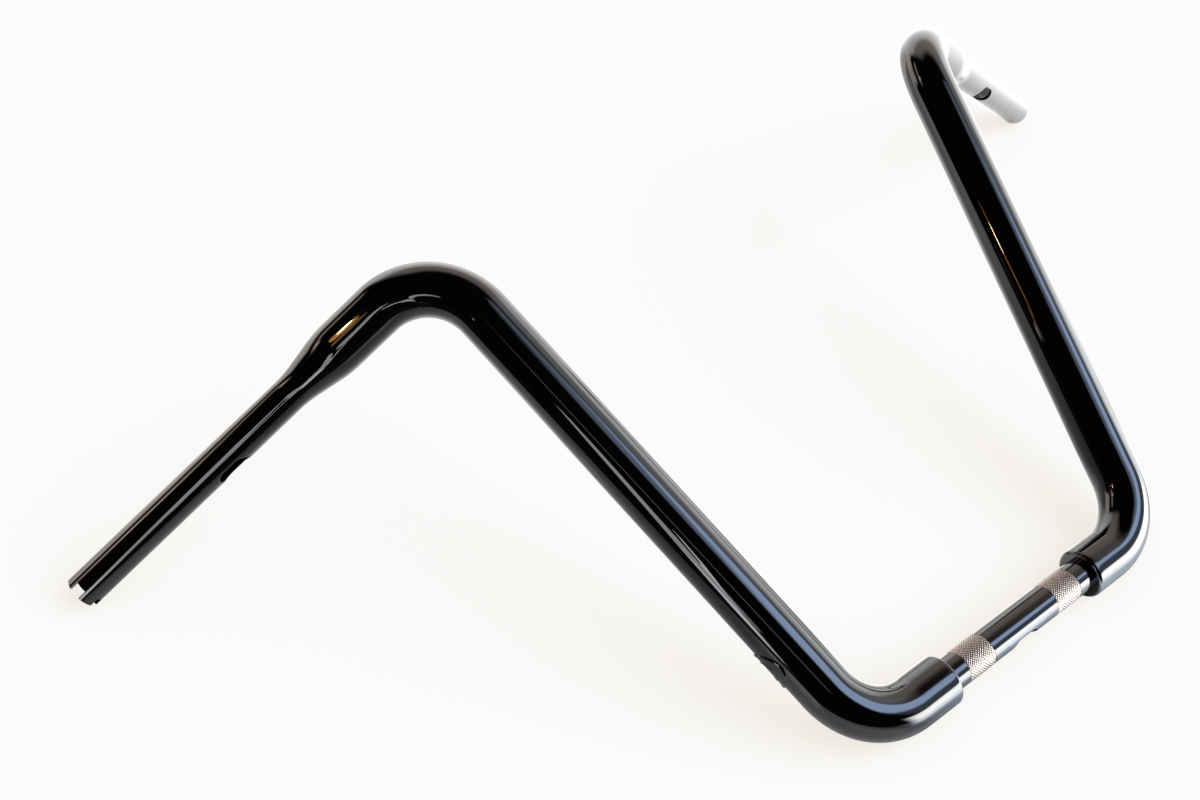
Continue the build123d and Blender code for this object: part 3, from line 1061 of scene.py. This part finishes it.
class HANDLEBAR_OT_knurl_bands(bpy.types.Operator):
    """Build the two bare knurl bands"""

    bl_idname = "handlebar.knurl_bands"
    bl_label = "Knurl bands"

    def execute(self, context):
        for side in (RIGHT, LEFT):
            build_knurl_band(side)
        return {"FINISHED"}


class HANDLEBAR_OT_badge(bpy.types.Operator):
    """Build the blank badge on the right riser"""

    bl_idname = "handlebar.badge"
    bl_label = "Badge"

    def execute(self, context):
        build_badge()
        return {"FINISHED"}


class HANDLEBAR_OT_reducer_rings(bpy.types.Operator):
    """Paint the frame's two reducer rings"""

    bl_idname = "handlebar.reducer_rings"
    bl_label = "Reducer rings"

    def execute(self, context):
        for side in SIDE_NAMES.values():
            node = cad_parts[f"{side}_reducer_ring"]
            node.data.materials.clear()
            node.data.materials.append(gloss_black())
        return {"FINISHED"}


class HANDLEBAR_OT_stage(bpy.types.Operator):
    """Set the floor, the light, the background and the camera"""

    bl_idname = "handlebar.stage"
    bl_label = "Stage"

    def execute(self, context):
        context.scene.view_settings.view_transform = "Standard"
        set_camera()
        set_world()
        set_floor()
        set_near_lights()
        set_lamp()
        return {"FINISHED"}


class HANDLEBAR_PT_panel(bpy.types.Panel):
    """Lists the handlebar's pieces, sizes and finishes"""

    bl_idname = "HANDLEBAR_PT_panel"
    bl_label = "Handlebar"
    bl_space_type = "VIEW_3D"
    bl_region_type = "UI"
    bl_category = "Handlebar"

    def draw(self, context):
        for step in STEPS:
            self.layout.operator(step.bl_idname)
        for group in (context.scene.handlebar_sizes, context.scene.handlebar_finishes):
            for name in group.__annotations__:
                self.layout.prop(group, name)


STEPS = (
    HANDLEBAR_OT_stage,
    HANDLEBAR_OT_bar_tubes,
    HANDLEBAR_OT_clamp_tube,
    HANDLEBAR_OT_knurl_bands,
    HANDLEBAR_OT_badge,
    HANDLEBAR_OT_reducer_rings,
)
CLASSES = (HandlebarSizes, HandlebarFinishes, *STEPS, HANDLEBAR_PT_panel)


def register():
    """Adds the classes and the scene's two groups of properties."""
    for item in CLASSES:
        bpy.utils.register_class(item)
    bpy.types.Scene.handlebar_sizes = bpy.props.PointerProperty(type=HandlebarSizes)
    bpy.types.Scene.handlebar_finishes = bpy.props.PointerProperty(type=HandlebarFinishes)


def unregister():
    """Takes them away again."""
    del bpy.types.Scene.handlebar_finishes
    del bpy.types.Scene.handlebar_sizes
    for item in reversed(CLASSES):
        bpy.utils.unregister_class(item)


def main():
    """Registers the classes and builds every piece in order."""
    register()
    bpy.ops.handlebar.stage()
    bpy.ops.handlebar.bar_tubes()
    bpy.ops.handlebar.clamp_tube()
    bpy.ops.handlebar.knurl_bands()
    bpy.ops.handlebar.badge()
    bpy.ops.handlebar.reducer_rings()


if __name__ == "__main__":
    main()
